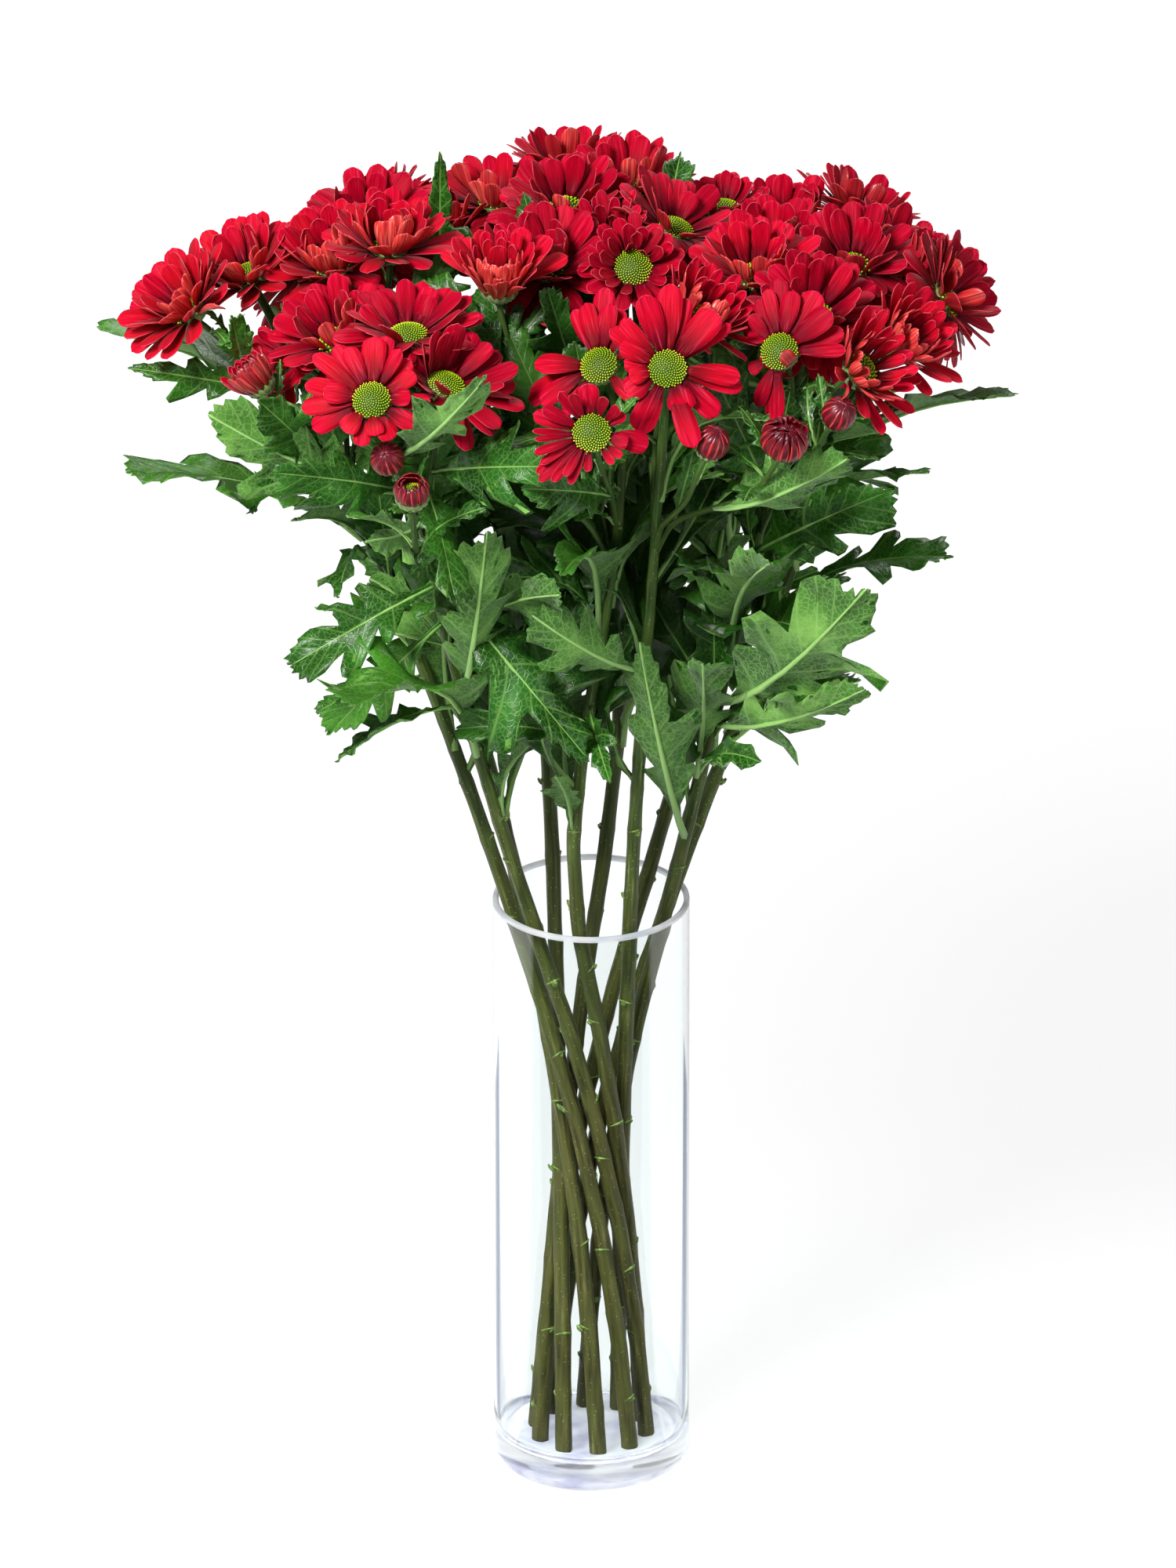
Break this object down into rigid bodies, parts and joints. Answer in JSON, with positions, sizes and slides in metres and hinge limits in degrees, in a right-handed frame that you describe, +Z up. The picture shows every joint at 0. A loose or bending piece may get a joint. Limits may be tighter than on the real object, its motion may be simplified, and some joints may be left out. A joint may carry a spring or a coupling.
{
  "type": "vase of cut chrysanthemums",
  "caption": "Hand-tied bunch of red spray chrysanthemums with green centres, standing in a clear straight glass cylinder vase.",
  "frame": {"origin": "middle of the vase's flat foot, on the surface it stands on", "axes": "+Z up along the vase's axis; -Y towards the side the bunch is seen from; +X to the right from there"},
  "size_m": [0.4583, 0.3687, 0.6978],
  "materials": {
    "clear_glass": "clear, smooth, fire-polished rim",
    "petal_red": "satin, fine lengthwise grooves, dull salmon reverse",
    "bud_maroon": "satin, paler pink stripes",
    "stem_green": "satin, ridged lengthwise",
    "leaf_green": "matt, paler veins and underside"
  },
  "bodies": {
    "root": {"vase": "clear_glass", "stem_01": "stem_green", "stem_02": "stem_green", "stem_03": "stem_green", "stem_04": "stem_green", "stem_05": "stem_green", "stem_06": "stem_green", "stem_07": "stem_green", "stem_08": "stem_green", "stem_09": "stem_green", "stem_10": "stem_green", "bloom_01": "petal_red", "bloom_02": "petal_red", "bloom_03": "petal_red", "bloom_04": "petal_red", "bloom_05": "petal_red", "bloom_06": "petal_red", "bloom_07": "petal_red", "bloom_08": "petal_red", "bloom_09": "petal_red", "bloom_10": "petal_red", "bloom_11": "petal_red", "bloom_12": "petal_red", "bloom_13": "petal_red", "bloom_14": "petal_red", "bloom_15": "petal_red", "bloom_16": "petal_red", "bloom_17": "petal_red", "bloom_18": "petal_red", "bloom_19": "petal_red", "bloom_20": "petal_red", "bloom_21": "petal_red", "bloom_22": "petal_red", "bloom_23": "petal_red", "bloom_24": "petal_red", "bloom_25": "petal_red", "bloom_26": "petal_red", "bloom_27": "petal_red", "bloom_28": "petal_red", "bloom_29": "petal_red", "bloom_30": "petal_red", "bloom_31": "petal_red", "bloom_32": "petal_red", "bloom_33": "petal_red", "bloom_34": "petal_red", "bloom_35": "petal_red", "bloom_36": "petal_red", "bloom_37": "petal_red", "bloom_38": "petal_red", "bud_01": "bud_maroon", "bud_02": "bud_maroon", "bud_03": "bud_maroon", "bud_04": "bud_maroon", "bud_05": "bud_maroon", "leaf_01": "leaf_green", "leaf_02": "leaf_green", "leaf_03": "leaf_green", "leaf_04": "leaf_green", "leaf_05": "leaf_green", "leaf_06": "leaf_green"}
  },
  "joints": []
}
